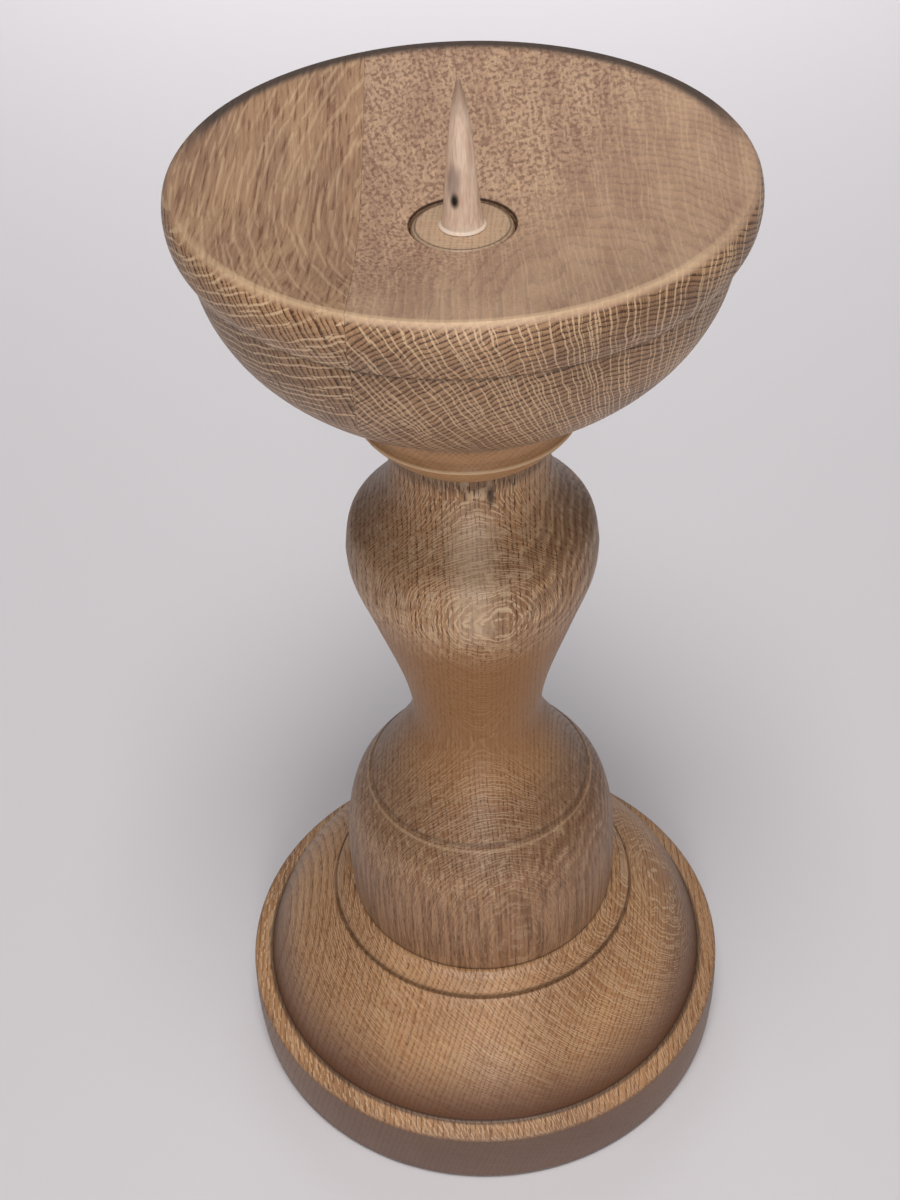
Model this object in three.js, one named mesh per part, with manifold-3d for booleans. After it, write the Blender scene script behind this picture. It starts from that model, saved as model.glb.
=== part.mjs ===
// Turned oak candlestick with a pricket spike, in millimetres, +Z up, standing on Z = 0.
//
// It is made as a wood turner makes it. A one-piece spindle stem stands in a blind mortise
// in a domed base. Its upper tenon passes right through a shallow cup glued up from two
// boards, and the pricket spike, a 10 mm dowel, is set in the end of that tenon.

import * as THREE from 'three'
import { mergeVertices } from 'three/addons/utils/BufferGeometryUtils.js'
import Module from 'manifold-3d'

const wasm = await Module()
wasm.setup()

// ---- driving dimensions -------------------------------------------------------------

const FIT_GAP = 0.3 // clearance left where two glued faces meet
const ROUND_STEPS = 48 // straight facets around each turned piece

// base
const BASE_R = 80.3
const BASE_SIDE_H = 22.8 // height of the upright side
const BASE_LAND_R = 74.4 // inner edge of the flat rim land
const BASE_LAND_H = 23.6
const DOME_CENTRE_R = 24.6 // the dome is a circle's arc turned about the axis
const DOME_CENTRE_H = 11.6
const DOME_ARC_R = 50.8
const DOME_ARC_START = 14 // degrees up from level, where the dome meets the land
const DOME_ARC_END = 60 // and where it meets the quirk
const QUIRK_MID_R = 49.2 // fine dark quirk between the dome and the raised ring
const QUIRK_IN_R = 48.9
const QUIRK_FLOOR_H = 54.9
const RING_OUT_H = 57.2
const SEAT_R = 43.6 // flat seat for the stem
const SEAT_H = 61
const MORTISE_R = 16
const MORTISE_FLOOR_H = 25

// stem
const FOOT_R = 42.9
const STEM_SHOULDER_R = 21.4 // top shoulder that carries the cup
const STEM_SHOULDER_H = 239.7
const TENON_R = 12.5 // upper tenon, right through the cup
const TENON_END_H = 300
const TENON_CHAMFER = 0.8

// cup
const CUP_SEAM_X = -24.4 // glue line between the two boards, parallel to Y
const CUP_BOTTOM_H = STEM_SHOULDER_H + FIT_GAP
const CUP_HOLE_R = TENON_R + 0.5
const RIM_H = 316
const RIM_INNER_R = 66.8

// pricket spike
const SPIKE_DOWEL_R = 4.9
const SPIKE_SOCKET_DEPTH = 26
const SPIKE_TIP_H = 337

// ---- turning ------------------------------------------------------------------------

const point = (r, z) => new THREE.Vector2(r, z)

/** A smooth sweep through a few radius and height pairs, cut into `steps` straight lines. */
function sweep(pairs, steps) {
  return new THREE.SplineCurve(pairs.map(([r, z]) => point(r, z))).getPoints(steps)
}

/** Turns an outline of radius and height about the Z axis. */
function turn(outline, steps = ROUND_STEPS) {
  const geometry = new THREE.LatheGeometry(outline, steps)
  return geometry.rotateX(Math.PI / 2)
}

/** Passes a closed three.js geometry to the boolean library. */
function toSolid(geometry) {
  const bare = geometry.clone()
  bare.deleteAttribute('normal')
  bare.deleteAttribute('uv')
  const welded = mergeVertices(bare, 1e-4)
  return new wasm.Manifold(new wasm.Mesh({
    numProp: 3,
    vertProperties: new Float32Array(welded.attributes.position.array),
    triVerts: new Uint32Array(welded.index.array),
  }))
}

/** Takes a boolean result back as a flat-shaded three.js geometry. */
function toGeometry(solid) {
  const mesh = solid.getMesh()
  const geometry = new THREE.BufferGeometry()
  geometry.setAttribute('position', new THREE.BufferAttribute(mesh.vertProperties, 3))
  geometry.setIndex(new THREE.BufferAttribute(mesh.triVerts, 1))
  geometry.computeVertexNormals()
  return geometry
}

function wood(name, geometry, colour, roughness) {
  const material = new THREE.MeshStandardMaterial({ color: colour, roughness, metalness: 0 })
  const mesh = new THREE.Mesh(geometry, material)
  mesh.name = name
  return mesh
}

// ---- base: upright side, flat rim land, dome, quirk, raised ring, seat and mortise --------

function baseOutline() {
  const edge = 1.2 // small rounding at the foot of the side
  const dome = []
  const domeSteps = 8
  for (let i = 0; i <= domeSteps; i += 1) {
    const degrees = DOME_ARC_START + ((DOME_ARC_END - DOME_ARC_START) * i) / domeSteps
    const a = THREE.MathUtils.degToRad(degrees)
    const r = DOME_CENTRE_R + DOME_ARC_R * Math.cos(a)
    dome.push(point(r, DOME_CENTRE_H + DOME_ARC_R * Math.sin(a)))
  }
  return [
    point(0, 0),
    point(BASE_R - edge, 0),
    point(BASE_R, edge),
    point(BASE_R + 0.4, BASE_SIDE_H / 2),
    point(BASE_R, BASE_SIDE_H - 0.5),
    point(BASE_R - 0.5, BASE_SIDE_H),
    point(BASE_LAND_R, BASE_LAND_H),
    ...dome,
    point(QUIRK_MID_R, QUIRK_FLOOR_H),
    point(QUIRK_IN_R, RING_OUT_H),
    point((QUIRK_IN_R + SEAT_R) / 2 + 0.3, (RING_OUT_H + SEAT_H) / 2 + 0.7),
    point(SEAT_R, SEAT_H),
    point(MORTISE_R, SEAT_H),
    point(MORTISE_R, MORTISE_FLOOR_H),
    point(0, MORTISE_FLOOR_H),
  ]
}

// ---- stem: lower tenon, bell, waist, vase bulb, neck and upper tenon ----------------------

function stemOutline() {
  const lowerTenonR = MORTISE_R - FIT_GAP
  const lowerTenonH = MORTISE_FLOOR_H + 1
  const footH = SEAT_H + FIT_GAP
  const socketR = SPIKE_DOWEL_R + FIT_GAP
  const socketFloorH = TENON_END_H - SPIKE_SOCKET_DEPTH
  const bell = sweep([[FOOT_R, footH], [43.3, 76], [42.4, 90], [39.6, 102], [34.8, 110]], 9)
  const narrow = [[34, 110.6], [27.9, 120], [22.4, 130], [19.6, 140]]
  const vase = [[22.1, 156], [29.5, 180], [34.3, 195], [35.2, 203]]
  const waist = sweep([...narrow, ...vase], 20)
  const shoulder = sweep([[35.2, 203], [33.6, 211.6], [28.2, 218], [23.4, 225], [21.2, 233]], 9)
  return [
    point(0, lowerTenonH),
    point(lowerTenonR, lowerTenonH),
    point(lowerTenonR, footH),
    ...bell,
    point(34.1, 110.1), // incised line around the bell
    ...waist,
    ...shoulder.slice(1),
    point(STEM_SHOULDER_R, STEM_SHOULDER_H),
    point(TENON_R, STEM_SHOULDER_H),
    point(TENON_R, TENON_END_H - TENON_CHAMFER),
    point(TENON_R - TENON_CHAMFER, TENON_END_H),
    point(socketR, TENON_END_H),
    point(socketR, socketFloorH),
    point(0, socketFloorH),
  ]
}

// ---- cup: collar bead, bowl, stepped bead, shallow dish and the hole for the tenon ---------

function cupOutline() {
  const collar = [
    point(22.6, CUP_BOTTOM_H),
    point(25, 242.2),
    point(28.5, 246.2),
    point(29.6, 248), // crisp upper edge of the collar bead
    point(28.9, 249),
    point(28.7, 251),
    point(29.3, 253.8),
  ]
  const underside = [[31, 257], [42.2, 264.2], [52, 272.2], [59, 280.4]]
  const bowl = sweep([...underside, [63.4, 289], [65.4, 297], [65.8, 301.2]], 15)
  const bead = sweep([[67.2, 301.8], [69.4, 306], [70, 310.3], [69.4, 314], [67.9, RIM_H]], 8)
  const dish = sweep([[RIM_INNER_R, RIM_H - 0.2], [40, 307.4], [CUP_HOLE_R, TENON_END_H + 0.3]], 6)
  return [
    point(CUP_HOLE_R, CUP_BOTTOM_H),
    ...collar,
    ...bowl,
    ...bead,
    ...dish,
    point(CUP_HOLE_R, CUP_BOTTOM_H),
  ]
}

/** The turned cup is one shape cut by the glue line, with half the gap taken off each board. */
function cupBoards() {
  const cup = toSolid(turn(cupOutline()))
  const leftSide = cup.trimByPlane([-1, 0, 0], -(CUP_SEAM_X - FIT_GAP / 2))
  const rightSide = cup.trimByPlane([1, 0, 0], CUP_SEAM_X + FIT_GAP / 2)
  return { left: toGeometry(leftSide), right: toGeometry(rightSide) }
}

// ---- spike: a dowel whose free end is whittled to a slim point ----------------------------

function spikeOutline() {
  const socketFloorH = TENON_END_H - SPIKE_SOCKET_DEPTH
  const taper = sweep([[5, 301.6], [4.3, 307], [3.6, 315.5], [2.7, 324.5], [1.6, 331.6], [0.4, 336.4]], 11)
  return [
    point(0, socketFloorH + 1),
    point(SPIKE_DOWEL_R, socketFloorH + 1),
    point(SPIKE_DOWEL_R, TENON_END_H),
    point(SPIKE_DOWEL_R + 0.3, TENON_END_H + 0.7),
    ...taper,
    point(0, SPIKE_TIP_H),
  ]
}

// ---- assembly ---------------------------------------------------------------------------

const boards = cupBoards()
const candlestick = new THREE.Group()
candlestick.name = 'candlestick'
candlestick.add(
  wood('base', turn(baseOutline()), 0x8a6346, 0.5),
  wood('stem', turn(stemOutline()), 0x7d5a40, 0.5),
  wood('cup_left_board', boards.left, 0x86624a, 0.55),
  wood('cup_right_board', boards.right, 0x8c6c52, 0.55),
  wood('pricket_spike', turn(spikeOutline(), 24), 0xd9bfa6, 0.6),
)

export default candlestick
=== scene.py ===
# %% [markdown]
# # A turned oak candlestick
#
# This lesson dresses a candlestick that a wood turner would make on a lathe. It has a domed
# base, a one-piece stem, a shallow cup glued up from two boards, and a pale whittled spike that
# the candle is pushed down on. The solid model that arrives with the frame is right in size but
# coarse. Each piece is turned again here from the same outline, with finer steps and softened
# arrises, and is then given a wood that is solid all the way through, as real wood is.
#
# Lengths below are in millimetres, as a turner would mark them, and are scaled to metres at the
# moment when a mesh or a light is placed.

# %% Load the frame
import math

import bmesh
import bpy
from mathutils import Matrix, Vector, noise


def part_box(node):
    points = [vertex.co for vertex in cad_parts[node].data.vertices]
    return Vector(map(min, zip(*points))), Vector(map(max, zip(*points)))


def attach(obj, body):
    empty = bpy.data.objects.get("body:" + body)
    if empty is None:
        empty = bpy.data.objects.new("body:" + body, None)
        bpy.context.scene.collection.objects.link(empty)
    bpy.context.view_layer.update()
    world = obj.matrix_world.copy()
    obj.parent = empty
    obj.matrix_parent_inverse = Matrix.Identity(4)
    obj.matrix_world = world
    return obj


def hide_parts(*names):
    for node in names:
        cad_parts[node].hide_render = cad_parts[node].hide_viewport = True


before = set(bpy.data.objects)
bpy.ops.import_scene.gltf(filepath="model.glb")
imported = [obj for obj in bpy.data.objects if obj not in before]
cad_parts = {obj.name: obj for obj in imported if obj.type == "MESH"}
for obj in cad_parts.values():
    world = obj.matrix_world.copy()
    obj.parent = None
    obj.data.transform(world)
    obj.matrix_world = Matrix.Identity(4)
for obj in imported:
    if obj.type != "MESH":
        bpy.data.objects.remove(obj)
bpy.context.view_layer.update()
MM = 0.001
print("frame nodes:", sorted(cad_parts))

# %% [markdown]
# ## Reading the main sizes off the frame
#
# The frame already knows how wide and how tall each piece is, so the outlines start from its
# boxes and are not typed in twice. `half_width` and `top` turn a box into the two numbers that a
# turner uses most: the largest radius, and the height of the upper end.

# %% Sizes from the frame


def half_width(node):
    low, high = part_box(node)
    return (high.y - low.y) / 2 / MM


def top(node):
    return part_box(node)[1].z / MM


BASE_R = half_width("base") - 0.4
SEAT_H = top("base")
STEM_TOP = top("stem")
CUP_R = half_width("cup_right_board")
RIM_H = top("cup_right_board")
SPIKE_TIP = top("pricket_spike")
GAP = 0.3
SEAM_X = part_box("cup_left_board")[1].x / MM + GAP / 2
print(f"base radius {BASE_R:.1f}, cup radius {CUP_R:.1f}, seam at x = {SEAM_X:.1f}")
print(f"seat {SEAT_H:.1f}, stem top {STEM_TOP:.1f}, rim {RIM_H:.1f}, tip {SPIKE_TIP:.1f}")

# %% [markdown]
# ## Outlines that flow
#
# A turned piece is one outline spun about an axis. Most of that outline is a long easy curve,
# which the turner cuts with a gouge in one movement. It could be typed in as many short lines, or
# drawn as a Bezier curve. `sweep` draws it through a few measured points instead, since a radius
# and a height are what a turner reads off with callipers.

# %% A smooth curve through a few points


def sweep(points, steps):
    """A smooth curve through a few (radius, height) pairs."""
    last = len(points) - 1
    curve = []
    for step in range(steps + 1):
        along = step / steps * last
        i = min(int(along), last - 1)
        t = along - i
        before = Vector(points[max(i - 1, 0)])
        start = Vector(points[i])
        end = Vector(points[i + 1])
        after = Vector(points[min(i + 2, last)])
        leave = (end - before) / 2
        arrive = (after - start) / 2
        bend = 2 * (start - end) + leave + arrive
        ease = 3 * (end - start) - 2 * leave - arrive
        curve.append(tuple(start + leave * t + ease * t**2 + bend * t**3))
    return curve


halfway = sweep([(0, 0), (10, 5), (0, 10)], 4)[2]
print("halfway through a sweep of three points:", halfway)

# %% [markdown]
# ## Arrises that catch the light
#
# Sandpaper always takes the edge off wood, and that tiny roundness makes a bright line along an
# edge. A Bevel modifier would do it on the finished mesh. `soften` does it on the outline, where
# it costs five points for each corner and can't spoil the mesh.

# %% Rounding the corners of an outline


def soften(outline, size, closed=False, sharp_turn=20):
    """Rounds each corner that turns by more than sharp_turn degrees."""
    rounded = []
    count = len(outline)
    for i in range(count):
        here = Vector(outline[i])
        if not closed and i in (0, count - 1):
            rounded.append(tuple(here))
            continue
        back = Vector(outline[i - 1]) - here
        onward = Vector(outline[(i + 1) % count]) - here
        turn_angle = 180 - math.degrees(back.angle(onward))
        if turn_angle < sharp_turn:
            rounded.append(tuple(here))
            continue
        reach = min(size, 0.4 * back.length, 0.4 * onward.length)
        enter = here + back.normalized() * reach
        leave = here + onward.normalized() * reach
        for t in (0, 0.25, 0.5, 0.75, 1):
            rounded.append(tuple(enter * (1 - t) ** 2 + here * 2 * t * (1 - t) + leave * t**2))
    return rounded


print("one square corner becomes", len(soften([(0, 0), (9, 0), (9, 9)], 1)) - 2, "points")

# %% [markdown]
# ## Spinning an outline into a piece
#
# Blender has a Screw modifier and a Spin tool for this. Building the rings directly is just as
# short, keeps every ring where the outline says, and leaves a closed mesh with no doubled points
# on the axis. `turn` makes one ring of points for each outline point, and a single point where
# the outline touches the axis. The normals are then made to point outwards, and only true
# corners are left sharp.

# %% The lathe
AROUND = 192
ON_AXIS = 1e-6


def ring_of_points(mesh, radius, height, around):
    if radius < ON_AXIS:
        return [mesh.verts.new((0, 0, height * MM))]
    ring = []
    for k in range(around):
        a = 2 * math.pi * k / around
        spot = (radius * math.cos(a) * MM, radius * math.sin(a) * MM, height * MM)
        ring.append(mesh.verts.new(spot))
    return ring


def join_rings(mesh, lower, upper, around):
    """Quads between two rings, or a fan of triangles where one of them is a point."""
    for k in range(around):
        nxt = (k + 1) % around
        if len(lower) == 1:
            mesh.faces.new((lower[0], upper[nxt], upper[k]))
        elif len(upper) == 1:
            mesh.faces.new((lower[k], lower[nxt], upper[0]))
        else:
            mesh.faces.new((lower[k], lower[nxt], upper[nxt], upper[k]))


def turn(name, outline, around=AROUND, closed=False):
    """Spins a (radius, height) outline in millimetres about Z, into a mesh in metres."""
    mesh = bmesh.new()
    rings = [ring_of_points(mesh, radius, height, around) for radius, height in outline]
    pairs = list(zip(rings[:-1], rings[1:]))
    if closed:
        pairs.append((rings[-1], rings[0]))
    for lower, upper in pairs:
        join_rings(mesh, lower, upper, around)
    bmesh.ops.recalc_face_normals(mesh, faces=mesh.faces)
    return finish_mesh(name, mesh)


def finish_mesh(name, mesh, sharp_angle=38):
    """Turns a bmesh into a smooth-shaded object that keeps its true corners sharp."""
    data = bpy.data.meshes.new(name)
    mesh.to_mesh(data)
    mesh.free()
    data.shade_smooth()
    data.set_sharp_from_angle(angle=math.radians(sharp_angle))
    piece = bpy.data.objects.new(name, data)
    bpy.context.scene.collection.objects.link(piece)
    print(f"{name}: {len(data.vertices)} points, {len(data.polygons)} faces")
    return piece


def stand_for(piece, node):
    """Lets a finer piece stand for its node of the frame."""
    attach(piece, "root")
    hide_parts(node)


print("a ring has", AROUND, "points unless a piece asks for another number")

# %% [markdown]
# ## The base
#
# The base is a round oak block with its grain lying flat, from front to back. From the outside
# in, the turner cut an upright side, a flat land, a steep dome, a fine quirk and a raised ring,
# and left a flat seat for the stem. A quirk is the narrow dark step that sets one moulding off
# from the next. The dome could be swept through points like the other curves, but it is part of
# a circle on the real base, so it is drawn as an arc with a centre and a radius.

# %% Turn the base
LAND_IN_R = BASE_R - 5.9
LAND_H = 23.6
SIDE_H = 22.8
DOME_CENTRE_R = 24.6
DOME_CENTRE_H = 11.6
DOME_RADIUS = 50.8
DOME_START = 14
DOME_END = 60
QUIRK_R = 49.2
QUIRK_FLOOR_H = 54.9
RING_R = 48.9
RING_H = 57.2
SEAT_R = 43.6
MORTISE_R = 16.0
MORTISE_FLOOR_H = 25.0
BASE_AROUND = 224


def dome(steps=28):
    """The arc of the dome, from the land up to the quirk."""
    points = []
    for i in range(steps + 1):
        a = math.radians(DOME_START + (DOME_END - DOME_START) * i / steps)
        radius = DOME_CENTRE_R + DOME_RADIUS * math.cos(a)
        points.append((radius, DOME_CENTRE_H + DOME_RADIUS * math.sin(a)))
    return points


def base_outline():
    side = sweep([(BASE_R, 1.2), (BASE_R + 0.4, SIDE_H / 2), (BASE_R, SIDE_H - 0.6)], 8)
    ring = sweep([(RING_R, RING_H), (46.5, 59.7), (SEAT_R, SEAT_H)], 6)
    return (
        [(0, 0), (40, 0), (BASE_R - 1.2, 0)]
        + side
        + [(BASE_R - 0.6, SIDE_H), (LAND_IN_R, LAND_H)]
        + dome()
        + [(QUIRK_R, QUIRK_FLOOR_H)]
        + ring
        + [(MORTISE_R, SEAT_H), (MORTISE_R, MORTISE_FLOOR_H), (0, MORTISE_FLOOR_H)]
    )


base = turn("turned_base", soften(base_outline(), 0.5), around=BASE_AROUND)
stand_for(base, "base")

# %% [markdown]
# ## The stem
#
# The stem is one spindle with its grain upright. It stands in the base on a stub tenon, swells
# into a bell with one incised line, draws in to a waist, swells again into a vase and ends in a
# 25 mm tenon that goes right through the cup. The end of that tenon shows in the dish, with a
# small chamfer round it, and holds the spike in a drilled socket. The bell could be a piece of
# its own, but its grain runs on into the waist, so the whole stem is one outline.

# %% Turn the stem
TENON_R = 12.5
TENON_CHAMFER = 0.8
SHOULDER_H = 239.7
SOCKET_R = 5.2
SOCKET_FLOOR_H = STEM_TOP - 26


def stem_outline():
    foot_h = SEAT_H + GAP
    stub_r = MORTISE_R - GAP
    bell = sweep([(42.9, foot_h), (43.3, 76), (42.4, 90), (39.6, 102), (34.8, 110)], 36)
    waist_points = [(34, 110.6), (27.9, 120), (22.4, 130), (19.6, 140)]
    vase_points = [(22.1, 156), (29.5, 180), (34.3, 195), (35.2, 203)]
    shoulder = sweep([(35.2, 203), (33.6, 211.6), (28.2, 218), (23.4, 225), (21.2, 233)], 30)
    return (
        [(0, MORTISE_FLOOR_H + 1), (stub_r, MORTISE_FLOOR_H + 1), (stub_r, foot_h)]
        + bell
        + [(34.1, 110.1)]
        + sweep(waist_points + vase_points, 80)
        + shoulder[1:]
        + [(21.4, SHOULDER_H), (TENON_R, SHOULDER_H)]
        + [(TENON_R, STEM_TOP - TENON_CHAMFER), (TENON_R - TENON_CHAMFER, STEM_TOP)]
        + [(SOCKET_R, STEM_TOP), (SOCKET_R, SOCKET_FLOOR_H), (0, SOCKET_FLOOR_H)]
    )


stem = turn("turned_stem", soften(stem_outline(), 0.25))
stand_for(stem, "stem")

# %% [markdown]
# ## The cup
#
# The cup is a shallow dish with a stepped bead under its rim and a round bowl below that. A small
# collar bead with a crisp upper edge sits at the bottom, over the neck of the stem. The hole for
# the tenon could be drilled afterwards with a Boolean. Here the outline is a closed loop that
# never reaches the axis, so the hole is simply left over when the last ring meets the first.

# %% Turn the cup
HOLE_R = TENON_R + 0.5
CUP_BOTTOM_H = SHOULDER_H + GAP


def cup_outline():
    collar = sweep([(22.6, CUP_BOTTOM_H), (25, 242.2), (28.5, 246.2), (29.6, 248)], 12)
    cove = sweep([(28.9, 249), (28.7, 251), (29.3, 253.8)], 6)
    lower = [(31, 257), (42.2, 264.2), (52, 272.2), (59, 280.4)]
    bowl = sweep(lower + [(63.4, 289), (65.4, 297), (65.8, 301.2)], 56)
    bead_low = [(67.2, 301.8), (69.4, 306), (CUP_R, 310.3)]
    bead = sweep(bead_low + [(69.4, 314), (67.9, RIM_H)], 24)
    dish = sweep([(66.8, RIM_H - 0.2), (40, 307.4), (HOLE_R, STEM_TOP + 0.3)], 30)
    return [(HOLE_R, CUP_BOTTOM_H)] + collar + cove + bowl + bead + dish


whole_cup = turn("whole_cup", soften(cup_outline(), 0.4, closed=True), closed=True)

# %% [markdown]
# ## Two boards and a glue line
#
# No single board was wide enough for the cup, so two thick boards were glued edge to edge before
# turning. A Boolean with two boxes would split the turned cup as well. One plane through the
# mesh is simpler and exact: each board keeps its side of the plane and closes over its own cut
# face, which is how the boards would look if the glue let go.

# %% Cut the cup along the glue line
GLUE_HALF = 0.03


def cut_board(whole, name, keep_left):
    """Cuts the turned cup with an upright plane and closes the cut."""
    side = -1 if keep_left else 1
    mesh = bmesh.new()
    mesh.from_mesh(whole.data)
    cut = bmesh.ops.bisect_plane(
        mesh,
        geom=mesh.verts[:] + mesh.edges[:] + mesh.faces[:],
        plane_co=((SEAM_X + side * GLUE_HALF) * MM, 0, 0),
        plane_no=(-side, 0, 0),
        clear_outer=True,
    )
    rim = [edge for edge in cut["geom_cut"] if isinstance(edge, bmesh.types.BMEdge)]
    filled = bmesh.ops.triangle_fill(mesh, edges=rim, use_beauty=True)
    print(f"{name}: cut face closed with {len(filled['geom'])} parts")
    bmesh.ops.recalc_face_normals(mesh, faces=mesh.faces)
    return finish_mesh(name, mesh)


left_board = cut_board(whole_cup, "cup_board_left", keep_left=True)
right_board = cut_board(whole_cup, "cup_board_right", keep_left=False)
bpy.data.objects.remove(whole_cup)
stand_for(left_board, "cup_left_board")
stand_for(right_board, "cup_right_board")

# %% [markdown]
# ## The spike
#
# The spike is a short length of pale dowel, whittled to a point with a knife and set in the end
# of the tenon. A knife leaves long shallow flats, so the round form is pressed in a little on
# several sides, less at the foot than near the point. Sculpting would do it too, but a rule in
# a few lines gives the same spike every time. A little squeezed-out glue rings the foot.

# %% Whittle the spike
SPIKE_R = 4.9
SPIKE_AROUND = 96
TWIST = 0.35
TWIST_LENGTH = 9
WANDER = 0.03
WANDER_SCALE = 160
ROUND_FOOT = 1.5


def spike_outline():
    floor_h = SOCKET_FLOOR_H + 1
    taper = [(5.2, STEM_TOP + 0.8), (5, 301.8), (4.3, 307), (3.6, 315.5), (2.7, 324.5)]
    point = [(1.6, 331.6), (0.4, 336.4)]
    foot = [(0, floor_h), (SPIKE_R, floor_h), (SPIKE_R, STEM_TOP + 0.1), (5.9, STEM_TOP + 0.1)]
    return foot + sweep(taper + point, 40) + [(0, SPIKE_TIP)]


def whittle(piece, flats=7, depth=0.05):
    """Presses long shallow flats into the taper."""
    for vert in piece.data.vertices:
        height = vert.co.z / MM
        if height < STEM_TOP + ROUND_FOOT:
            continue
        share = (height - STEM_TOP) / (SPIKE_TIP - STEM_TOP)
        angle = math.atan2(vert.co.y, vert.co.x) + TWIST * math.sin(height / TWIST_LENGTH)
        press = depth * (0.5 + 0.5 * math.cos(flats * angle)) * min(1, 3 * share)
        wander = WANDER * noise.noise(vert.co * WANDER_SCALE)
        scale = 1 - press + wander
        vert.co.x *= scale
        vert.co.y *= scale


spike = turn("whittled_spike", soften(spike_outline(), 0.3), around=SPIKE_AROUND)
whittle(spike)
stand_for(spike, "pricket_spike")

# %% [markdown]
# ## Colours as the eye names them
#
# A colour picked from a sample is on the screen's curved scale, but the nodes work in linear
# light. Typing linear numbers is possible and hard to read, so `shade` does the conversion and
# every pigment below keeps its everyday numbers from 0 to 255.

# %% Mixing a pigment


def shade(red, green, blue):
    """A screen colour from 0 to 255, as the linear colour that nodes work in."""
    linear = []
    for value in (red, green, blue):
        v = value / 255
        linear.append(v / 12.92 if v <= 0.04045 else ((v + 0.055) / 1.055) ** 2.4)
    return (*linear, 1.0)


print("middle grey on the screen is", round(shade(128, 128, 128)[0], 2), "in linear light")

# %% [markdown]
# ## Wiring a material in words
#
# Node materials get long, so a small bench of helpers keeps them readable. `Bench` opens a fresh
# material, hands out its object coordinates in millimetres, and has one short method for each
# kind of sum. Object coordinates matter here: the pattern is fixed in the wood in three
# dimensions, so it runs over every edge and into every hollow without a seam. A pattern laid on
# with UVs would have a seam on every piece.

# %% The bench: wires and sums


class Bench:
    def __init__(self, name):
        self.material = bpy.data.materials.new(name)
        self.material.use_nodes = True
        self.tree = self.material.node_tree
        self.shader = self.tree.nodes["Principled BSDF"]
        coords = self.tree.nodes.new("ShaderNodeTexCoord")
        self.place = self.vector("SCALE", coords.outputs["Object"], scale=1 / MM)

    def feed(self, socket, value):
        """Wires a socket to another one, or sets it to a plain value."""
        if isinstance(value, bpy.types.NodeSocket):
            self.tree.links.new(value, socket)
        elif value is not None:
            socket.default_value = value

    def math(self, kind, first, second=None, third=None):
        node = self.tree.nodes.new("ShaderNodeMath")
        node.operation = kind
        for socket, value in zip(node.inputs, (first, second, third)):
            self.feed(socket, value)
        return node.outputs[0]

    def vector(self, kind, first, second=None, scale=None):
        node = self.tree.nodes.new("ShaderNodeVectorMath")
        node.operation = kind
        self.feed(node.inputs[0], first)
        self.feed(node.inputs[1], second)
        if scale is not None:
            self.feed(node.inputs["Scale"], scale)
        return node.outputs["Value" if kind == "LENGTH" else "Vector"]

    def split(self, vector):
        node = self.tree.nodes.new("ShaderNodeSeparateXYZ")
        self.feed(node.inputs[0], vector)
        return node.outputs[0], node.outputs[1], node.outputs[2]

    def join(self, x, y, z):
        node = self.tree.nodes.new("ShaderNodeCombineXYZ")
        for socket, value in zip(node.inputs, (x, y, z)):
            self.feed(socket, value)
        return node.outputs[0]

    def turned(self, vector, degrees):
        """The coordinates turned about X, Y and Z, to lean or lay down the grain."""
        node = self.tree.nodes.new("ShaderNodeMapping")
        self.feed(node.inputs["Vector"], vector)
        node.inputs["Rotation"].default_value = [math.radians(d) for d in degrees]
        return node.outputs[0]


print("the bench can do:", [name for name in vars(Bench) if not name.startswith("_")])

# %% [markdown]
# ## Patterns
#
# Wood needs only two patterns. Noise gives soft clouds, and streaks where its grains are
# stretched. A Voronoi texture scatters cells, which become pores and rays. A Wave texture looks
# like a short cut to rings, but its waves are all alike, and real years never are.

# %% The bench: patterns


class PatternBench(Bench):
    def noise(self, vector, scale, detail=2.0, colour=False):
        node = self.tree.nodes.new("ShaderNodeTexNoise")
        self.feed(node.inputs["Vector"], vector)
        node.inputs["Scale"].default_value = scale
        node.inputs["Detail"].default_value = detail
        return node.outputs["Color" if colour else "Fac"]

    def streaks(self, size, detail):
        """Noise whose grains have the given size in mm along X, Y and Z."""
        return self.noise(self.vector("DIVIDE", self.place, size), 1.0, detail)

    def cells(self, vector):
        """Distance to the nearest of many scattered centres, a tone for it, and its place."""
        node = self.tree.nodes.new("ShaderNodeTexVoronoi")
        self.feed(node.inputs["Vector"], vector)
        node.inputs["Scale"].default_value = 1.0
        tone = self.split(node.outputs["Color"])[0]
        return node.outputs["Distance"], tone, node.outputs["Position"]


print("patterns:", [name for name in vars(PatternBench) if not name.startswith("_")])

# %% [markdown]
# ## Masks
#
# A mask says where something is: 1 there, 0 elsewhere, and a smooth step between them. Masks
# painted by hand would be fixed to one mesh. These need only a place in millimetres, and on a
# turned piece most of them are a height or a ring.

# %% The bench: masks


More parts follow.
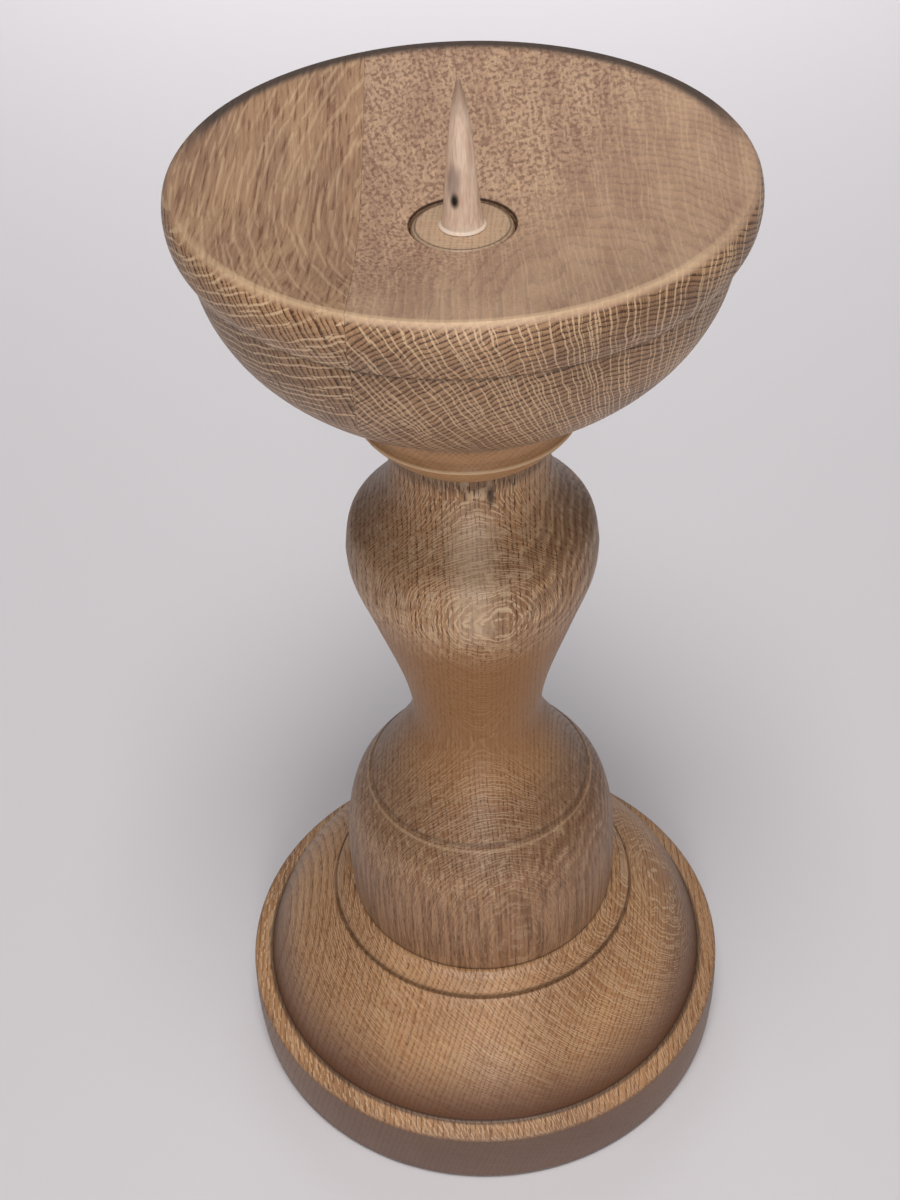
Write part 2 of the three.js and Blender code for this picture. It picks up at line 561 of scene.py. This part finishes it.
class MaskBench(PatternBench):
    def fade(self, value, start, end, low=0.0, high=1.0):
        """low before start, high after end, and a smooth step between them."""
        node = self.tree.nodes.new("ShaderNodeMapRange")
        node.interpolation_type = "SMOOTHSTEP"
        for socket, number in zip(node.inputs, (value, start, end, low, high)):
            self.feed(socket, number)
        return node.outputs[0]

    def both(self, *masks):
        """The product of some masks, which is high only where all of them are."""
        product = masks[0]
        for mask in masks[1:]:
            product = self.math("MULTIPLY", product, mask)
        return product

    def band(self, value, start, full, leave, end):
        """1 from full to leave, and 0 outside start and end."""
        return self.both(self.fade(value, start, full), self.fade(value, leave, end, 1, 0))

    def near_circle(self, radius, height, reach):
        """1 on a circle round the axis, fading to 0 at reach from it."""
        x, y, z = self.split(self.place)
        away = self.math("SUBTRACT", self.vector("LENGTH", self.join(x, y, 0)), radius)
        rise = self.math("SUBTRACT", z, height)
        far = self.vector("LENGTH", self.join(away, rise, 0))
        return self.fade(far, reach * 0.25, reach, 1, 0)

    def near_point(self, point, stretch, reach):
        """1 at a point, fading to 0 at reach from it, with the axes stretched."""
        away = self.vector("SUBTRACT", self.place, point)
        away = self.vector("MULTIPLY", away, stretch)
        return self.fade(self.vector("LENGTH", away), reach * 0.35, reach, 1, 0)


print("masks:", [name for name in vars(MaskBench) if not name.startswith("_")])

# %% [markdown]
# ## Glazes
#
# A glaze lays a pigment over the colour so far through a mask, the way a finisher adds a tone
# where it's wanted. Every colour on this piece is built up from such glazes, from the wood
# outwards, so any one of them can be changed or left out alone. Blender's Mix node has sockets
# for numbers, vectors and colours under the same names, so its colour sockets are named here.

# %% The bench: glazes
FIRST_COLOUR = 6
SECOND_COLOUR = 7
MIXED_COLOUR = 2


class WoodBench(MaskBench):
    def blend(self, amount, first, second):
        node = self.tree.nodes.new("ShaderNodeMix")
        node.data_type = "RGBA"
        self.feed(node.inputs["Factor"], amount)
        self.feed(node.inputs[FIRST_COLOUR], first)
        self.feed(node.inputs[SECOND_COLOUR], second)
        return node.outputs[MIXED_COLOUR]

    def glaze(self, colour, pigment, mask, strength=None):
        """Lays a pigment over the colour where the mask is high."""
        if strength is not None:
            mask = self.both(mask, strength)
        return self.blend(mask, colour, pigment)

    def bump(self, height, distance, strength):
        """Lets the height shade the surface as if it were up to distance mm deep."""
        node = self.tree.nodes.new("ShaderNodeBump")
        self.feed(node.inputs["Height"], height)
        node.inputs["Distance"].default_value = distance * MM
        node.inputs["Strength"].default_value = strength
        self.tree.links.new(node.outputs[0], self.shader.inputs["Normal"])


print("glazes:", [name for name in vars(WoodBench) if not name.startswith("_")])

# %% [markdown]
# ## Oak, grown rather than painted
#
# Oak shows three things at once. Growth rings are shells round the pith, the centre of the tree.
# Earlywood pores are fine tubes along the grain, crowded at the start of each ring: they look
# like dashes on a face, and like rows of dots on end grain. Rays are thin pale sheets that run
# out from the pith: they look like bright flecks where the cut follows them and like fine pale
# lines across the rings on end grain. The cross-hatching on the cup and the vase is pores and
# rays crossing.
#
# An image of wood can't do this on a turned piece, because the pattern has to change as the
# surface leans. So the pith is placed beside the piece, as in the tree, and each point is measured
# by its distance, angle and height round it. `grow` gives that place in the tree. Two slow noises
# push it sideways a little, because no tree is quite straight.

# %% A place in the tree
DRIFT_SIZE = 55
DRIFT_REACH = 4.5
SHIVER_LENGTH = 5


def waver(bench, drift, size, detail, reach):
    """A smooth sideways push of up to half of reach, that changes over size millimetres."""
    push = bench.noise(drift, 1 / size, detail, colour=True)
    push = bench.vector("SUBTRACT", push, (0.5, 0.5, 0.5))
    return bench.vector("MULTIPLY", push, (reach, reach, 0))


def grow(bench, lay, pith, shiver_size, seed):
    """Each point's place in the tree, in mm: the grain runs along Z and the pith is at 0."""
    grain = bench.vector("SUBTRACT", bench.turned(bench.place, lay), pith)
    drift = bench.vector("MULTIPLY", grain, (1, 1, 0.25))
    drift = bench.vector("ADD", drift, (seed * 37, seed * 11, seed * 5))
    grown = bench.vector("ADD", grain, waver(bench, drift, DRIFT_SIZE, 2, DRIFT_REACH))
    drift = bench.vector("MULTIPLY", drift, (1, 1, 0.6))
    return bench.vector("ADD", grown, waver(bench, drift, SHIVER_LENGTH, 1, shiver_size))


print(f"the grain drifts by up to {DRIFT_REACH / 2} mm over {DRIFT_SIZE} mm")

# %% [markdown]
# ## Rings, pores and rays
#
# Years differ a little in width, and each one starts abruptly with open earlywood, so a ring is a
# sawtooth of the distance from the pith and not a sine wave. Pores are cells stretched along the
# grain. Rays are cells too, but in the round, outward and along directions of the tree, and only
# a thin slice through the middle of each cell is kept.

# %% The three figures of oak
YEAR_SPREAD = 1.6
EARLY_SHARE = 0.6
FINE_PORE = 0.2
EXTRA_WIDTH = 0.26


def earlywood(bench, distance, ring, seed):
    """1 where a year starts, fading to 0 through the year."""
    years = bench.math("DIVIDE", distance, ring)
    uneven = bench.noise(bench.join(bench.math("MULTIPLY", years, 0.45), seed, 0), 1.0, 1)
    years = bench.math("ADD", years, bench.math("MULTIPLY", uneven, YEAR_SPREAD))
    return bench.fade(bench.math("FRACT", years), 0.0, EARLY_SHARE, 1, 0)


def pores(bench, grown, early, across, length):
    """Tubes along the grain, crowded and wide in the earlywood, few and fine elsewhere."""
    tube = bench.vector("DIVIDE", grown, (across, across, length))
    far, tone, _ = bench.cells(tube)
    width = bench.math("MULTIPLY_ADD", early, EXTRA_WIDTH, FINE_PORE)
    open_tube = bench.fade(bench.math("SUBTRACT", width, far), -0.05, 0.1)
    return bench.both(open_tube, bench.fade(tone, 0.0, 0.6, 0.45, 1))


def rays(bench, polar, spacing, thickness, reach, height, plenty=0.0):
    """Thin pale sheets that run out from the pith. polar is round, outward and along."""
    sheet = bench.vector("DIVIDE", polar, (spacing, reach, height))
    _, tone, centre = bench.cells(sheet)
    aside = bench.split(bench.vector("SUBTRACT", sheet, centre))[0]
    half = thickness / spacing / 2
    thin = bench.fade(bench.math("ABSOLUTE", aside), half * 0.5, half * 1.5, 1, 0)
    return bench.both(thin, bench.fade(tone, 0.15 - plenty, 0.75 - plenty))


print(f"pores fill {FINE_PORE} to {FINE_PORE + EXTRA_WIDTH:.2f} of their cells")

# %% [markdown]
# ## The recipe
#
# `oak` puts the figures together for one plank. The same recipe gives straight stripes, arches or
# cross-hatching, according to how the outline cuts through. Four separate materials would also
# work, but then a correction to one of them would have to be made four times.

# %% The oak recipe
LIGHT_OAK = shade(190, 142, 98)
DARK_OAK = shade(122, 80, 50)
PORE_BROWN = shade(78, 46, 30)
RAY_CREAM = shade(226, 194, 156)
FINE_RAYS = {"spacing": 0.5, "thickness": 0.13, "reach": 7, "height": 2.0, "plenty": 0.2}


def oak(
    name,
    lay,
    pith,
    ring=2.0,
    light=LIGHT_OAK,
    dark=DARK_OAK,
    ring_strength=0.6,
    pore_strength=0.8,
    pore_size=0.6,
    pore_length=9.0,
    big_rays=0.7,
    fine_rays=0.4,
    ray_gap=2.4,
    ray_thick=0.34,
    ray_reach=26.0,
    ray_height=12.0,
    ray_plenty=0.0,
    shiver_size=0.9,
    away=None,
    seed=0.0,
):
    """Solid oak. lay turns the grain onto local Z, and pith is the tree's centre there, in mm."""
    bench = WoodBench(name)
    grown = grow(bench, lay, pith, shiver_size, seed)
    across, over, along = bench.split(grown)
    distance = bench.vector("LENGTH", bench.join(across, over, 0))
    angle = bench.math("ARCTAN2", over, across)
    early = earlywood(bench, distance, ring, seed)

    away = away or math.hypot(pith[0], pith[1])
    polar = bench.join(bench.math("MULTIPLY", angle, away), distance, along)
    big = rays(bench, polar, ray_gap, ray_thick, ray_reach, ray_height, ray_plenty)
    fine = rays(bench, polar, **FINE_RAYS)
    bench.ray_mask = bench.math("MAXIMUM", bench.both(big, big_rays), bench.both(fine, fine_rays))
    open_pores = pores(bench, grown, early, pore_size, pore_length)
    bench.pore_mask = bench.both(open_pores, pore_strength)

    # fine fibres along the grain, and a slow drift of colour through the plank
    bench.fibre = bench.noise(bench.vector("DIVIDE", grown, (0.5, 0.5, 14)), 1.0)
    patch = bench.noise(bench.vector("DIVIDE", grown, (26, 26, 70)), 1.0)
    body = bench.glaze(light, dark, early, ring_strength)
    body = bench.glaze(body, dark, bench.fade(patch, 0.35, 0.7, 0, 0.45))
    bench.body = bench.glaze(body, dark, bench.fade(bench.fibre, 0.35, 0.75, 0, 0.3))
    return bench


print("the finest rays are", FINE_RAYS["thickness"], "mm thick")

# %% [markdown]
# ## Varnish, painted shade and painted highlights
#
# The wood was oiled or thinly varnished, so it has a soft sheen and no hard reflections: a rough
# surface with a thin satin coat over it. Shade is painted into every quirk and corner, and a few
# crisp edges get painted highlights. Both are rings on a turned piece, so each is only a radius, a
# height, a reach and a strength. An ambient occlusion node would find the corners too, but it
# changes with whatever stands nearby.

# %% Finishing the oak
# painted shade for the quirks and corners
HOLLOW_SHADE_BROWN = shade(52, 36, 28)
# painted highlight along a few crisp edges
EDGE_HIGHLIGHT_CREAM = shade(232, 200, 160)
SATIN = 0.47
SPECULAR = 0.3
COAT = 0.3
COAT_ROUGHNESS = 0.38


def finish_oak(bench, tint, hollows, edge_highlights=()):
    """Lays rays, pores, tint, painted shade and painted highlights over the wood, and wires the
    shader.
    """
    colour = bench.glaze(bench.body, RAY_CREAM, bench.ray_mask)
    colour = bench.glaze(colour, PORE_BROWN, bench.pore_mask)
    colour = tint(bench, colour)
    # painted shade: each hollow ring is darkened where shade falls
    for radius, height, reach, strength in hollows:
        hollow_shade = bench.near_circle(radius, height, reach)
        colour = bench.glaze(colour, HOLLOW_SHADE_BROWN, hollow_shade, strength)
    # painted highlights: each ring is made paler along its edge
    for radius, height, reach, strength in edge_highlights:
        highlight_ring = bench.near_circle(radius, height, reach)
        colour = bench.glaze(colour, EDGE_HIGHLIGHT_CREAM, highlight_ring, strength)
    bench.feed(bench.shader.inputs["Base Color"], colour)
    gloss = bench.math("MULTIPLY_ADD", bench.pore_mask, 0.25, SATIN)
    gloss = bench.math("MULTIPLY_ADD", bench.fibre, 0.08, gloss)
    bench.feed(bench.shader.inputs["Roughness"], gloss)
    bench.shader.inputs["Specular IOR Level"].default_value = SPECULAR
    bench.shader.inputs["Coat Weight"].default_value = COAT
    bench.shader.inputs["Coat Roughness"].default_value = COAT_ROUGHNESS
    height = bench.math("SUBTRACT", bench.both(bench.fibre, 0.25), bench.pore_mask)
    bench.bump(height, 0.12, 0.6)
    return bench.material


def dress(piece, material):
    piece.data.materials.clear()
    piece.data.materials.append(material)
    print(f"{piece.name} is finished in {material.name}")


print(f"satin {SATIN}, coat {COAT} with roughness {COAT_ROUGHNESS}")

# %% [markdown]
# ## Rungs and arches on the stem
#
# Where the stem swells, the lathe cut across its rays and left pale rungs in upright rows, like
# little ladders. On the right of the bell and the vase the rings run nearly level with the
# surface and spread into broad arches. Moving the pith could bring out either figure, but not
# both on one spindle, so these two are laid over the recipe as masks of their own.

# %% The stem's ladders and arches
LADDER_MIDDLE_H = 207
BELL_SHOULDER_H = 104
ARCH_GAP = 4.4


def swells(bench, height):
    """How far each height belongs to the vase's swell, and to the bell's."""
    from_vase = bench.math("ABSOLUTE", bench.math("SUBTRACT", height, LADDER_MIDDLE_H))
    from_bell = bench.math("ABSOLUTE", bench.math("SUBTRACT", height, BELL_SHOULDER_H))
    return bench.fade(from_vase, 12, 28, 0.5, 0), bench.fade(from_bell, 2, 26, 0.28, 0)


def ladders(bench, height):
    """Pale rungs in upright rows."""
    vase, bell = swells(bench, height)
    row = bench.fade(bench.streaks((1.7, 1.7, 60), 1), 0.5, 0.62)
    rung = bench.fade(bench.streaks((2.4, 2.4, 0.55), 1), 0.42, 0.58, 0.3, 1)
    return bench.both(row, rung, bench.math("ADD", vase, bell))


def arches(bench, across, depth, height):
    """Broad dark rings that climb to the right."""
    vase, bell = swells(bench, height)
    climb = bench.math("MULTIPLY_ADD", height, -0.55, bench.math("MULTIPLY", across, 0.83))
    climb = bench.math("MULTIPLY_ADD", bench.streaks((20, 20, 34), 1), 26, climb)
    years = bench.math("FRACT", bench.math("DIVIDE", climb, ARCH_GAP))
    wide_ring = bench.band(years, 0.0, 0.25, 0.45, 0.95)
    right_side = bench.both(bench.fade(across, 8, 20), bench.fade(depth, 0, 12, 1, 0))
    return bench.both(wide_ring, right_side, bench.math("ADD", vase, bench.both(bell, 1.8)))


print("the stem's arches are", ARCH_GAP, "mm apart")

# %% [markdown]
# ## Finishing the stem
#
# One spindle shows several tones. Finish soaked into the waist and turned it honey yellow, the
# bell stayed darker with soft upright columns, and a pale painted highlight runs down the front
# under the neck, beside a small dark shake. A shake is a crack that opened in the tree. The pith
# is placed well to the right, so the ray sheets lie flat to the front and are cut into an eye
# where the vase is fullest.

# %% Finish the stem
UPRIGHT = (0, 0, 0)
HONEY = shade(150, 102, 56)
# painted shade above the incised line, at the bell's foot, under the cup's collar and round the
# tenon end
STEM_HOLLOWS = [
    (33.8, 110.9, 0.9, 0.35),
    (42.9, 61, 1.6, 0.5),
    (21.4, 238.5, 5, 0.5),
    (12.5, 299.6, 0.5, 0.8),
    (11.5, 300, 0.4, 0.6),
]
# painted highlight just under the incised line
INCISED_HIGHLIGHT = [(34.9, 109.3, 0.8, 0.25)]


def stem_tint(bench, colour):
    """Honey in the waist, darker on the bell, and a painted highlight down the front."""
    across, depth, height = bench.split(bench.place)
    # painted highlight: a pale upright band on the front of the vase
    front_highlight = bench.fade(bench.math("ABSOLUTE", across), 1, 10, 0.4, 0)
    front_highlight = bench.both(front_highlight, bench.fade(depth, -20, 0, 1, 0))
    front_highlight = bench.both(front_highlight, bench.band(height, 190, 200, 222, 236))
    colour = bench.glaze(colour, shade(224, 196, 166), front_highlight)
    colour = bench.glaze(colour, HONEY, bench.band(height, 112, 140, 178, 200), 0.8)
    colour = bench.glaze(colour, shade(108, 72, 50), bench.fade(height, 100, 126, 0.35, 0))
    column = bench.fade(bench.streaks((1.6, 1.6, 30), 2), 0.4, 0.62)
    column = bench.glaze(shade(164, 124, 92), shade(112, 76, 52), column)
    colour = bench.glaze(colour, column, bench.fade(height, 88, 106, 0.6, 0))
    colour = bench.glaze(colour, shade(84, 52, 34), bench.band(height, 98, 106, 116, 130), 0.35)
    colour = bench.glaze(colour, shade(222, 190, 154), ladders(bench, height))
    colour = bench.glaze(colour, shade(104, 66, 42), arches(bench, across, depth, height), 0.95)
    flank = bench.both(bench.fade(across, -4, -26), bench.fade(height, 196, 208, 0, 0.25))
    colour = bench.glaze(colour, shade(92, 52, 34), flank)
    tenon_end = bench.fade(height, STEM_TOP - 1.4, STEM_TOP - 0.4, 0, 0.6)
    colour = bench.glaze(colour, shade(184, 160, 136), tenon_end)
    shake = bench.near_point((5.2, -21.3, 234.0), (1.3, 1, 0.5), 2.2)
    return bench.glaze(colour, shade(48, 32, 26), shake, 0.85)


stem_oak = oak(
    "stem_oak",
    UPRIGHT,
    pith=(130, -13, 0),
    ring=1.3,
    ring_strength=0.72,
    pore_strength=0.9,
    pore_size=0.5,
    pore_length=3.5,
    big_rays=0.6,
    fine_rays=0.8,
    ray_gap=1.0,
    ray_thick=0.13,
    ray_reach=10,
    ray_height=5,
    ray_plenty=0.2,
    seed=1.0,
)
dress(stem, finish_oak(stem_oak, stem_tint, STEM_HOLLOWS, INCISED_HIGHLIGHT))

# %% [markdown]
# ## Finishing the base
#
# The base and both cup boards have their grain lying from front to back, so their ends face the
# front. The side below the land is darkened with painted shade, and darker still in front, and the
# foot of the dome gets painted shade as well. These tones are glazes that depend only on height,
# radius and depth, since painting them on a texture would tie them to this one mesh.

# %% Finish the base
FLAT = (90, 0, 0)
LAND_EDGE_H = (21.8, 23.2)
# painted shade in the quirk and at the inner edge of the land
BASE_HOLLOWS = [
    (QUIRK_R, QUIRK_FLOOR_H + 0.6, 1.4, 0.5),
    (LAND_IN_R - 0.2, LAND_H, 1.4, 0.7),
]


def base_tint(bench, colour):
    """Painted shade at the foot of the dome and on the side, darker still in front."""
    across, depth, height = bench.split(bench.place)
    radius = bench.vector("LENGTH", bench.join(across, depth, 0))
    # painted shade at the foot of the dome
    dome_foot_shade = bench.both(bench.fade(height, 23.9, 47, 1, 0), bench.fade(radius, 73.8, 74.3, 1, 0))
    colour = bench.glaze(colour, shade(92, 56, 38), dome_foot_shade, 0.9)
    # painted shade on the side below the land
    colour = bench.glaze(colour, shade(104, 78, 66), bench.fade(height, *LAND_EDGE_H, 0.75, 0))
    # the side is darker still in front
    front_darkening = bench.fade(depth, -76, -40, 0.4, 0)
    front_darkening = bench.both(front_darkening, bench.fade(height, *LAND_EDGE_H, 1, 0))
    return bench.glaze(colour, shade(84, 62, 56), front_darkening)


base_oak = oak(
    "base_oak",
    FLAT,
    pith=(140, 30, 0),
    ring=1.6,
    ring_strength=0.55,
    big_rays=0.3,
    fine_rays=0.6,
    pore_strength=0.6,
    pore_size=0.5,
    pore_length=6,
    seed=2.0,
)
dress(base, finish_oak(base_oak, base_tint, BASE_HOLLOWS))

# %% [markdown]
# ## The rim, the bowl's foot and the collar
#
# These tones cross the glue line, so both boards share them. The lip has a painted highlight in
# front, the far edge of the rim gets painted shade, the bowl gets painted shade that deepens towards
# its foot, and the collar under it is honey coloured. `dish_mask` picks out the inner face by its
# slope, which needs no separate material and so leaves no hard border at the lip.

# %% Tones that both boards share
LIGHT_CUP = shade(184, 142, 104)
DARK_CUP = shade(72, 40, 26)
LIP_HIGHLIGHT_GOLD = shade(238, 206, 164)
RIM_SHADE = shade(66, 54, 48)
DISH_SLOPE = 0.29
# painted shade under the bead's step, in the cove over the collar and round the tenon
CUP_HOLLOWS = [(66, 301.5, 1.9, 0.65), (28.8, 249.8, 1.0, 0.15), (13.0, 300.0, 0.6, 0.9)]
# painted highlight along the collar's upper edge
COLLAR_HIGHLIGHT = [(29.6, 248, 0.8, 0.7)]


def dish_mask(bench):
    """1 on the inner face of the cup, which rises steadily from the tenon to the lip."""
    across, depth, height = bench.split(bench.place)
    radius = bench.vector("LENGTH", bench.join(across, depth, 0))
    level = bench.math("MULTIPLY_ADD", radius, -DISH_SLOPE, height)
    return bench.fade(level, 294.2, 295.4)


def rim_tint(bench, colour):
    """A painted highlight on the lip in front, painted shade at the back of the rim and under the
    bowl, and a honey collar.
    """
    _, depth, height = bench.split(bench.place)
    # painted highlight on the front of the lip
    lip = bench.both(bench.near_circle(67.4, 315.8, 1.9), bench.fade(depth, -60, -10, 0.4, 0))
    colour = bench.glaze(colour, LIP_HIGHLIGHT_GOLD, lip)
    # painted shade along the back edge of the rim
    edge = bench.both(bench.near_circle(67.3, 316, 3.4), bench.fade(depth, 0, 30, 0, 0.95))
    colour = bench.glaze(colour, RIM_SHADE, edge)
    # painted shade under the bowl, deeper towards its foot
    colour = bench.glaze(colour, shade(84, 50, 36), bench.fade(height, 258, 284, 0.5, 0))
    return bench.glaze(colour, shade(190, 140, 92), bench.fade(height, 252, 257, 0.7, 0))


print("the dish rises by", DISH_SLOPE, "mm for each millimetre outwards")

# %% [markdown]
# ## The left board
#
# Inside the dish the smaller board was cut nearly along its grain. It shows long reddish streaks
# and soft slanting ray flecks there, while the same board hatches on the outside. Its pith lies
# well to the left and a little lower than the dish, so the rings lean. The inner face is glazed
# to quiet the hatching, because the recipe alone shows more of it there than the real board does.

# %% Finish the left board


def left_tint(bench, colour):
    """Long reddish streaks and ray flecks in the dish."""
    flat = bench.fade(bench.streaks((12, 40, 12), 3), 0.3, 0.7)
    plain = bench.glaze(shade(176, 140, 108), shade(150, 116, 92), flat)
    streak = bench.streaks((0.8, 16, 3), 3)
    plain = bench.glaze(plain, shade(108, 68, 48), bench.fade(streak, 0.52, 0.68, 0, 0.8))
    plain = bench.glaze(plain, shade(200, 168, 134), bench.fade(streak, 0.44, 0.34, 0, 0.5))
    plain = bench.glaze(plain, RAY_CREAM, bench.ray_mask, 0.25)
    colour = bench.glaze(colour, plain, dish_mask(bench), 0.85)
    return rim_tint(bench, colour)


left_oak = oak(
    "cup_left_oak",
    FLAT,
    pith=(-160, -252, 0),
    ring=1.3,
    light=LIGHT_CUP,
    dark=DARK_CUP,
    ring_strength=1.0,
    shiver_size=1.6,
    pore_strength=0.9,
    pore_length=16,
    big_rays=0.75,
    ray_plenty=0.3,
    fine_rays=0.2,
    ray_gap=2.0,
    ray_thick=0.45,
    ray_reach=14,
    ray_height=20,
    away=120,
    seed=3.0,
)
dress(left_board, finish_oak(left_oak, left_tint, CUP_HOLLOWS, COLLAR_HIGHLIGHT))

# %% [markdown]
# ## The right board
#
# The larger board was sawn a little across its grain, which rises towards the front by 18
# degrees, so its rays cross the bowl as fine netting. In the dish it flecks: short dark squiggles
# cover the far left part and thin out towards the near right. Short noise makes the squiggles,
# and a slanting mask spreads them. Scattered cells would make them too round.

# %% Finish the right board
RISING = (108, 0, 0)


def right_tint(bench, colour):
    """Short dark flecks in the dish, thinning out towards the near right."""
    across, depth, _ = bench.split(bench.place)
    flat = bench.fade(bench.streaks((9, 34, 12), 3), 0.3, 0.7)
    plain = bench.glaze(shade(196, 163, 135), shade(170, 136, 114), flat)
    streak = bench.fade(bench.streaks((0.7, 9, 2), 2), 0.5, 0.7, 0, 0.5)
    plain = bench.glaze(plain, shade(206, 172, 136), streak)
    fleck = bench.fade(bench.streaks((0.95, 1.5, 0.95), 2), 0.45, 0.6)
    side = bench.math("MULTIPLY_ADD", depth, -0.75, across)
    side = bench.math("MULTIPLY_ADD", bench.fibre, 16, side)
    fleck = bench.both(fleck, bench.fade(side, 6, 46, 0.68, 0.1))
    plain = bench.glaze(plain, shade(112, 78, 66), fleck)
    colour = bench.glaze(colour, plain, dish_mask(bench), 0.8)
    return rim_tint(bench, colour)


right_oak = oak(
    "cup_right_oak",
    RISING,
    pith=(38, -190, 0),
    ring=1.2,
    light=LIGHT_CUP,
    dark=DARK_CUP,
    ring_strength=1.0,
    shiver_size=1.8,
    pore_strength=0.9,
    pore_size=0.5,
    pore_length=4,
    big_rays=0.7,
    fine_rays=0.2,
    ray_gap=2.2,
    ray_thick=0.5,
    ray_reach=40,
    ray_height=40,
    ray_plenty=0.5,
    away=115,
    seed=4.0,
)
dress(right_board, finish_oak(right_oak, right_tint, CUP_HOLLOWS, COLLAR_HIGHLIGHT))

# %% [markdown]
# ## The pale dowel
#
# The spike is another wood, pale and fine, and it was left bare. It has faint lengthwise grain,
# one small black knot near its foot, and a grey smudge over the knot where the knife was rested.
# Its point has darkened with use, and dry glue shows white at its foot. The oak recipe has too
# much figure for it, so it gets a short material of its own.

# %% Finish the spike


def pale_dowel():
    bench = WoodBench("spike_dowel")
    fibre = bench.streaks((0.5, 0.5, 9), 3)
    cloud = bench.noise(bench.place, 1 / 5)
    colour = bench.glaze(shade(244, 222, 202), shade(222, 194, 170), bench.fade(fibre, 0.35, 0.7))
    colour = bench.glaze(colour, shade(224, 186, 168), bench.fade(cloud, 0.45, 0.7, 0, 0.4))
    tip = bench.fade(bench.split(bench.place)[2], 324, SPIKE_TIP, 0, 0.8)
    colour = bench.glaze(colour, shade(130, 98, 76), tip)
    smudge = bench.near_point((-2.2, -3.4, 313), (1, 1, 0.45), 2.8)
    colour = bench.glaze(colour, shade(140, 124, 120), smudge, 0.6)
    knot = bench.near_point((-1.9, -4.2, 308.4), (1, 1, 0.6), 1.7)
    colour = bench.glaze(colour, shade(22, 18, 18), knot)
    glue = bench.both(bench.near_circle(5.3, 300.9, 1.6), bench.fade(cloud, 0.4, 0.6))
    colour = bench.glaze(colour, shade(226, 210, 194), glue)
    bench.feed(bench.shader.inputs["Base Color"], colour)
    bench.feed(bench.shader.inputs["Roughness"], bench.fade(fibre, 0.2, 0.8, 0.5, 0.66))
    bench.bump(bench.math("SUBTRACT", fibre, knot), 0.08, 0.5)
    return bench.material


dress(spike, pale_dowel())

# %% [markdown]
# ## The floor
#
# The candlestick stands on a plain pale floor, wide enough that its edge is out of view from the
# camera, which looks down. A curved backdrop would hide the horizon from lower angles as well, but
# it would throw light back at the piece. The floor is a stage and not part of the object.

# %% Floor
FLOOR_HALF = 6.0
floor_mesh = bpy.data.meshes.new("floor")
near_left = (-FLOOR_HALF, -FLOOR_HALF, 0)
near_right = (FLOOR_HALF, -FLOOR_HALF, 0)
far_right = (FLOOR_HALF, FLOOR_HALF, 0)
far_left = (-FLOOR_HALF, FLOOR_HALF, 0)
floor_mesh.from_pydata([near_left, near_right, far_right, far_left], [], [(0, 1, 2, 3)])
floor = bpy.data.objects.new("floor", floor_mesh)
bpy.context.scene.collection.objects.link(floor)
floor_paint = Bench("pale_floor")
floor_paint.shader.inputs["Base Color"].default_value = shade(226, 223, 226)
floor_paint.shader.inputs["Roughness"].default_value = 0.6
floor.data.materials.append(floor_paint.material)
print("the floor is", 2 * FLOOR_HALF, "m wide")

# %% [markdown]
# ## The light
#
# A large soft lamp hangs over the front, as a ceiling light would. A tall narrow one stands in
# front, because its long reflection is what makes turned wood look round. A third lights mainly
# the floor behind, which lets the pale surround stay dim enough to keep shade under the cup and at
# the foot of the dome. A sky texture would be quicker, but it would fill that shade from every side.

# %% Light
MIDDLE = (0, 0, 0.16)
WARM_WHITE = (1.0, 0.98, 0.96)


def soft_light(name, place_m, aim_m, wide_m, tall_m, watts, colour, spread=180):
    """A rectangular lamp that faces the point at aim_m."""
    lamp = bpy.data.lights.new(name, "AREA")
    lamp.shape = "RECTANGLE"
    lamp.size = wide_m
    lamp.size_y = tall_m
    lamp.spread = math.radians(spread)
    lamp.energy = watts
    lamp.color = colour
    holder = bpy.data.objects.new(name, lamp)
    holder.location = place_m
    holder.rotation_euler = (Vector(aim_m) - Vector(place_m)).to_track_quat("-Z", "Y").to_euler()
    bpy.context.scene.collection.objects.link(holder)
    print(f"{name}: {wide_m} by {tall_m} m, {watts} W")


soft_light("ceiling_light", (0.0, -0.35, 1.55), MIDDLE, 0.6, 0.6, 14, WARM_WHITE)
soft_light("front_light", (0.03, -1.3, 0.5), MIDDLE, 0.25, 0.95, 5.5, WARM_WHITE)
soft_light("back_light", (0.0, 1.3, 1.1), (0.0, 1.25, 0), 1.2, 0.6, 6.0, (1.0, 0.98, 0.98), 110)
world = bpy.data.worlds.new("surround")
world.use_nodes = True
world.node_tree.nodes["Background"].inputs["Color"].default_value = (0.93, 0.94, 1.0, 1)
world.node_tree.nodes["Background"].inputs["Strength"].default_value = 0.15
bpy.context.scene.world = world

# %% [markdown]
# ## The camera
#
# The camera looks down from close by, as a person does at something on a table. That is why the
# cup looks so much wider than the base. A Track To constraint could aim it, but the view is also
# turned a little about its own axis, so the three turns are written out in order.

# %% Camera
CAMERA_PLACE = (0.00156, -0.35202, 0.49679)
LOOK_DOWN = 41.99
LOOK_LEFT = 1.38
ROLL = -2.5
LENS = 49.5
FILM_WIDTH = 36
NEAREST = 0.01
camera_data = bpy.data.cameras.new("camera")
camera_data.lens = LENS
camera_data.sensor_width = FILM_WIDTH
camera_data.clip_start = NEAREST
camera = bpy.data.objects.new("camera", camera_data)
camera.location = CAMERA_PLACE
camera.rotation_mode = "XYZ"
bpy.context.scene.collection.objects.link(camera)
yaw = Matrix.Rotation(math.radians(LOOK_LEFT), 3, "Z")
tilt = Matrix.Rotation(math.radians(90 - LOOK_DOWN), 3, "X")
roll = Matrix.Rotation(math.radians(ROLL), 3, "Z")
camera.rotation_euler = (yaw @ tilt @ roll).to_euler()
bpy.context.scene.camera = camera
bpy.context.scene.view_settings.view_transform = "Standard"
print(f"the camera looks down by {LOOK_DOWN:.0f} degrees from {CAMERA_PLACE[2]:.2f} m up")

# %% [markdown]
